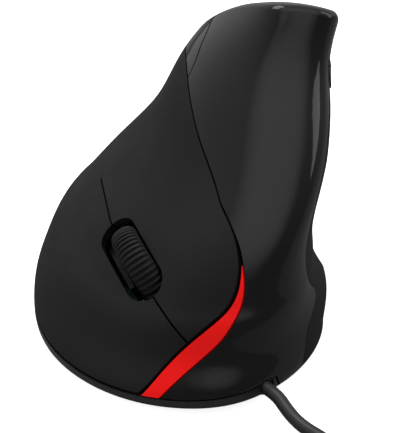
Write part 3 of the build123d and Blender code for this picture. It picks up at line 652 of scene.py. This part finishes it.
def on_wheel(name, mesh, slot_name):
    """A piece of the wheel from a mesh made round the z axis, set on the wheel's own axis."""
    spin = next(joint for joint in frame["joints"] if joint["name"] == "wheel_spin")
    axis = Vector(spin["axis"]).normalized()
    across = axis.orthogonal().normalized()
    place = Matrix((across, axis.cross(across), axis)).transposed().to_4x4()
    mesh.transform(Matrix.Translation(spin["pos_m"]) @ place)
    mesh.materials.clear()
    mesh.materials.append(finishes[slot_name])
    piece = bpy.data.objects.new(name, mesh)
    bpy.context.scene.collection.objects.link(piece)
    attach(piece, "wheel")
    return piece


def make_wheel(settings):
    rib = one_rib(settings)
    outward_normals(rib.data)
    tree, count, finish = rib_ring()
    modifier = rib.modifiers.new("rib ring", "NODES")
    modifier.node_group = tree
    modifier[count] = settings.ribs
    modifier[finish] = finishes["wheel_rubber"]
    ribs = bpy.data.meshes.new_from_object(rib.evaluated_get(bpy.context.evaluated_depsgraph_get()))
    bpy.data.objects.remove(rib)
    band = tyre_band(settings)
    outward_normals(band.data)
    tread = band.data
    bpy.data.objects.remove(band)
    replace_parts(on_wheel("tyre_band", tread, "wheel_rubber"), "wheel_tyre")
    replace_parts(on_wheel("tyre_ribs", ribs, "wheel_rubber"), "wheel_tyre")


# Stage


floor_reach = 3.0
floor_tone = 0.9
floor_tone_in_gloss = 0.22
floor_glow = 0.85
plain_light = 0.62


def make_floor():
    """A white table, lit up a little to the camera and dimmer in the gloss."""
    mesh = bpy.data.meshes.new("floor")
    corners = [(x * floor_reach, y * floor_reach, 0) for x, y in ((-1, -1), (1, -1), (1, 1), (-1, 1))]
    mesh.from_pydata(corners, [], [(0, 1, 2, 3)])
    floor = bpy.data.objects.new("floor", mesh)
    bpy.context.scene.collection.objects.link(floor)
    material = bpy.data.materials.new("white table")
    material.use_nodes = True
    tree = material.node_tree
    tree.nodes.clear()
    output = tree.nodes.new("ShaderNodeOutputMaterial")
    matt = tree.nodes.new("ShaderNodeBsdfDiffuse")
    glow = tree.nodes.new("ShaderNodeEmission")
    path = tree.nodes.new("ShaderNodeLightPath")
    seen = tree.nodes.new("ShaderNodeMath")
    seen.operation = "MULTIPLY"
    seen.inputs[1].default_value = floor_glow
    both = tree.nodes.new("ShaderNodeAddShader")
    dimmed = tree.nodes.new("ShaderNodeMapRange")
    dimmed.inputs["To Min"].default_value = floor_tone
    dimmed.inputs["To Max"].default_value = floor_tone_in_gloss
    tree.links.new(path.outputs["Is Glossy Ray"], dimmed.inputs["Value"])
    tree.links.new(dimmed.outputs["Result"], matt.inputs["Color"])
    tree.links.new(path.outputs["Is Camera Ray"], seen.inputs[0])
    tree.links.new(seen.outputs[0], glow.inputs["Strength"])
    tree.links.new(matt.outputs[0], both.inputs[0])
    tree.links.new(glow.outputs[0], both.inputs[1])
    tree.links.new(both.outputs[0], output.inputs["Surface"])
    mesh.materials.append(material)


def make_world():
    """White to the camera, an even light on the object, and in the gloss a studio that is dim in front."""
    world = bpy.data.worlds.new("studio")
    bpy.context.scene.world = world
    world.use_nodes = True
    tree = world.node_tree
    back = tree.nodes["Background"]
    path = tree.nodes.new("ShaderNodeLightPath").outputs
    direction = tree.nodes.new("ShaderNodeTexCoord").outputs["Generated"]
    studio = blended(tree, facing(tree, direction, (0.0, 0.65, 0.75)), -0.15, 0.95, 0.12, 0.62)
    softbox = blended(tree, facing(tree, direction, (0.32, -0.38, 0.87)), 0.8, 1.0, 0.0, 0.62)
    gloss = calculated(tree, "MULTIPLY", calculated(tree, "ADD", studio, softbox), path["Is Glossy Ray"])
    plain = calculated(tree, "MULTIPLY", path["Is Diffuse Ray"], plain_light)
    seen = calculated(tree, "MAXIMUM", path["Is Camera Ray"], path["Is Transmission Ray"])
    light = calculated(tree, "MAXIMUM", calculated(tree, "MAXIMUM", gloss, plain), seen)
    tree.links.new(light, back.inputs["Strength"])
    back.inputs["Color"].default_value = (1.0, 1.0, 1.0, 1.0)


def make_lamp(name, place, size, power):
    data = bpy.data.lights.new(name, "AREA")
    data.shape = "RECTANGLE"
    data.size, data.size_y = size
    data.energy = power
    lamp = bpy.data.objects.new(name, data)
    bpy.context.scene.collection.objects.link(lamp)
    look = (Vector((0.0, 0.0, 0.03)) - Vector(place)).normalized()
    lamp.location = place
    lamp.rotation_euler = look.to_track_quat("-Z", "Y").to_euler()


def make_stage():
    scene = bpy.context.scene
    scene.view_settings.view_transform = "Standard"
    make_floor()
    make_world()
    make_lamp("top softbox", (-0.15, 0.25, 0.9), (0.7, 0.5), 4.0)
    make_lamp("left softbox", (-0.9, -0.3, 0.55), (0.5, 0.6), 1.2)
    make_lamp("right softbox", (0.9, 0.1, 0.5), (0.4, 0.6), 1.0)


# Operators


class MOUSE_OT_finishes(bpy.types.Operator):
    """Make the procedural finishes and put them on every part"""

    bl_idname = "mouse.finishes"
    bl_label = "Finishes"

    def execute(self, context):
        make_finishes(context.scene.mouse_finish)
        return {"FINISHED"}


class MOUSE_OT_camera(bpy.types.Operator):
    """Place the camera at the photograph's viewing angle"""

    bl_idname = "mouse.camera"
    bl_label = "Camera"

    def execute(self, context):
        make_camera(context.scene.mouse_view)
        return {"FINISHED"}


class MOUSE_OT_cable(bpy.types.Operator):
    """Lay the cable along the table and into its put-away coil"""

    bl_idname = "mouse.cable"
    bl_label = "Cable"

    def execute(self, context):
        make_cable(context.scene.mouse_cable)
        return {"FINISHED"}


class MOUSE_OT_shells(bpy.types.Operator):
    """Make the finger panel and the two keys that flex from it"""

    bl_idname = "mouse.shells"
    bl_label = "Finger side"

    def execute(self, context):
        make_shells()
        return {"FINISHED"}


class MOUSE_OT_wheel(bpy.types.Operator):
    """Make the ribbed tyre of the scroll wheel"""

    bl_idname = "mouse.wheel"
    bl_label = "Wheel"

    def execute(self, context):
        make_wheel(context.scene.mouse_wheel)
        return {"FINISHED"}


class MOUSE_OT_stage(bpy.types.Operator):
    """Set out the table, the studio and the lamps"""

    bl_idname = "mouse.stage"
    bl_label = "Stage"

    def execute(self, context):
        make_stage()
        return {"FINISHED"}


class MOUSE_PT_panel(bpy.types.Panel):
    bl_idname = "MOUSE_PT_panel"
    bl_label = "Vertical mouse"
    bl_space_type = "VIEW_3D"
    bl_region_type = "UI"
    bl_category = "Vertical mouse"

    def draw(self, context):
        for group in (getattr(context.scene, name) for name in settings_groups):
            box = self.layout.box()
            for name in group.__annotations__:
                box.prop(group, name)
        for operator in operators:
            self.layout.operator(operator.bl_idname)


settings_groups = {
    "mouse_view": ViewSettings, "mouse_cable": CableSettings, "mouse_wheel": WheelSettings,
    "mouse_finish": FinishSettings,
}
operators = (
    MOUSE_OT_finishes, MOUSE_OT_camera, MOUSE_OT_cable, MOUSE_OT_shells, MOUSE_OT_wheel, MOUSE_OT_stage,
)


def register():
    for name, group in settings_groups.items():
        bpy.utils.register_class(group)
        setattr(bpy.types.Scene, name, PointerProperty(type=group))
    for operator in operators:
        bpy.utils.register_class(operator)
    bpy.utils.register_class(MOUSE_PT_panel)


def unregister():
    bpy.utils.unregister_class(MOUSE_PT_panel)
    for operator in reversed(operators):
        bpy.utils.unregister_class(operator)
    for name, group in settings_groups.items():
        delattr(bpy.types.Scene, name)
        bpy.utils.unregister_class(group)


def main():
    register()
    bpy.ops.mouse.finishes()
    bpy.ops.mouse.camera()
    bpy.ops.mouse.cable()
    bpy.ops.mouse.shells()
    bpy.ops.mouse.wheel()
    bpy.ops.mouse.stage()


if __name__ == "__main__":
    main()
